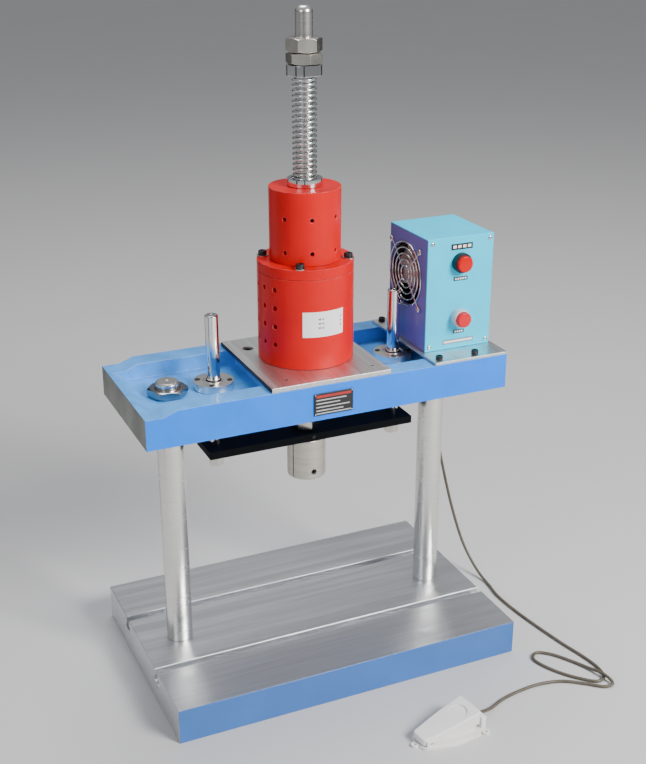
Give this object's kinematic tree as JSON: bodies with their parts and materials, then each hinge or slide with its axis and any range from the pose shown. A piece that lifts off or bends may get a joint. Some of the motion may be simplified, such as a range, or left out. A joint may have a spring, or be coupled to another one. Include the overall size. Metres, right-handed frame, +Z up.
{
  "type": "electromagnetic bench press",
  "caption": "Bench press with a T-slotted base, two columns, a beam, a solenoid that drives a guided spring-return ram, a control box and a cabled foot switch.",
  "frame": {"origin": "centre of the base plate's underside", "axes": "+Z up along the ram, +X along the base towards the control box, -Y towards the operator"},
  "size_m": [0.533, 0.431, 0.8],
  "materials": {
    "blue_paint": "satin sky-blue paint",
    "panel_blue": "satin pale cyan-blue paint",
    "red_paint": "satin red paint",
    "ground_steel": "ground and machined steel",
    "bright_steel": "polished hard chrome",
    "zinc_plate": "dull zinc plate",
    "black_oxide": "black oxide",
    "black_plastic": "moulded black plastic",
    "winding": "varnished copper winding",
    "board": "circuit board and parts",
    "button_red": "glossy red plastic",
    "cream_plastic": "moulded cream plastic",
    "cable_sheath": "dull brown sheath",
    "nameplate": "black anodised, blank"
  },
  "bodies": {
    "frame": {"base_plate": "blue_paint", "beam": "blue_paint", "enclosure": "blue_paint", "front_panel": "panel_blue", "coil_housing": "red_paint", "coil_cover": "red_paint", "armature_housing": "red_paint", "left_column": "ground_steel", "right_column": "ground_steel", "mounting_plate": "ground_steel", "bracket_plate": "ground_steel", "pole_piece": "ground_steel", "spring_collar": "bright_steel", "return_spring": "bright_steel", "left_guide_bushing": "bright_steel", "right_guide_bushing": "bright_steel", "fan_guard": "bright_steel", "pedal_pin": "bright_steel", "pedal_spring": "bright_steel", "left_column_nut": "zinc_plate", "right_column_nut": "zinc_plate", "left_column_screw": "black_oxide", "right_column_screw": "black_oxide", "plate_screw_left": "black_oxide", "plate_screw_right": "black_oxide", "cover_screw_1": "black_oxide", "cover_screw_2": "black_oxide", "cover_screw_3": "black_oxide", "cover_screw_4": "black_oxide", "bracket_screw_1": "black_oxide", "bracket_screw_2": "black_oxide", "bracket_screw_3": "black_oxide", "bracket_screw_4": "black_oxide", "fan_frame": "black_plastic", "power_button_bezel": "black_plastic", "lamp_button_bezel": "black_plastic", "cable_gland": "black_plastic", "coil_winding": "winding", "control_unit": "board", "footswitch_base": "cream_plastic", "footswitch_cable": "cable_sheath", "nameplate": "nameplate"},
    "ram": {"ram_rod": "bright_steel", "plunger": "ground_steel", "spring_seat": "bright_steel", "lower_ram_nut": "zinc_plate", "upper_ram_nut": "zinc_plate", "crosshead": "black_oxide", "crosshead_nut": "zinc_plate", "left_guide_rod": "bright_steel", "right_guide_rod": "bright_steel", "left_guide_bolt": "zinc_plate", "right_guide_bolt": "zinc_plate", "tool_holder": "zinc_plate", "set_screw": "black_oxide"},
    "fan": {"fan_rotor": "black_plastic"},
    "power_button": {"power_button_cap": "button_red"},
    "lamp_button": {"lamp_button_cap": "button_red"},
    "pedal": {"footswitch_pedal": "cream_plastic"}
  },
  "joints": [
    {"name": "ram_slide", "type": "slide", "parent": "frame", "child": "ram", "axis": [0, 0, -1], "range_m": [0, 0.035], "stiffness_N_per_m": 3700, "springref_m": -0.03, "deforming": ["return_spring"]},
    {"name": "fan_spin", "type": "hinge", "parent": "frame", "child": "fan", "pos_m": [0.1483, 0, 0.4805], "axis": [1, 0, 0], "continuous": true},
    {"name": "power_button_press", "type": "slide", "parent": "frame", "child": "power_button", "axis": [0, 1, 0], "range_m": [0, 0.003], "stiffness_N_per_m": 300, "springref_m": -0.004},
    {"name": "lamp_button_press", "type": "slide", "parent": "frame", "child": "lamp_button", "axis": [0, 1, 0], "range_m": [0, 0.003], "stiffness_N_per_m": 300, "springref_m": -0.004},
    {"name": "pedal_press", "type": "hinge", "parent": "frame", "child": "pedal", "pos_m": [0.03418, -0.26084, 0.007], "axis": [-0.1392, 0.9903, 0], "range_deg": [0, 6], "stiffness_Nm_per_rad": 5, "springref_deg": -3.44}
  ]
}
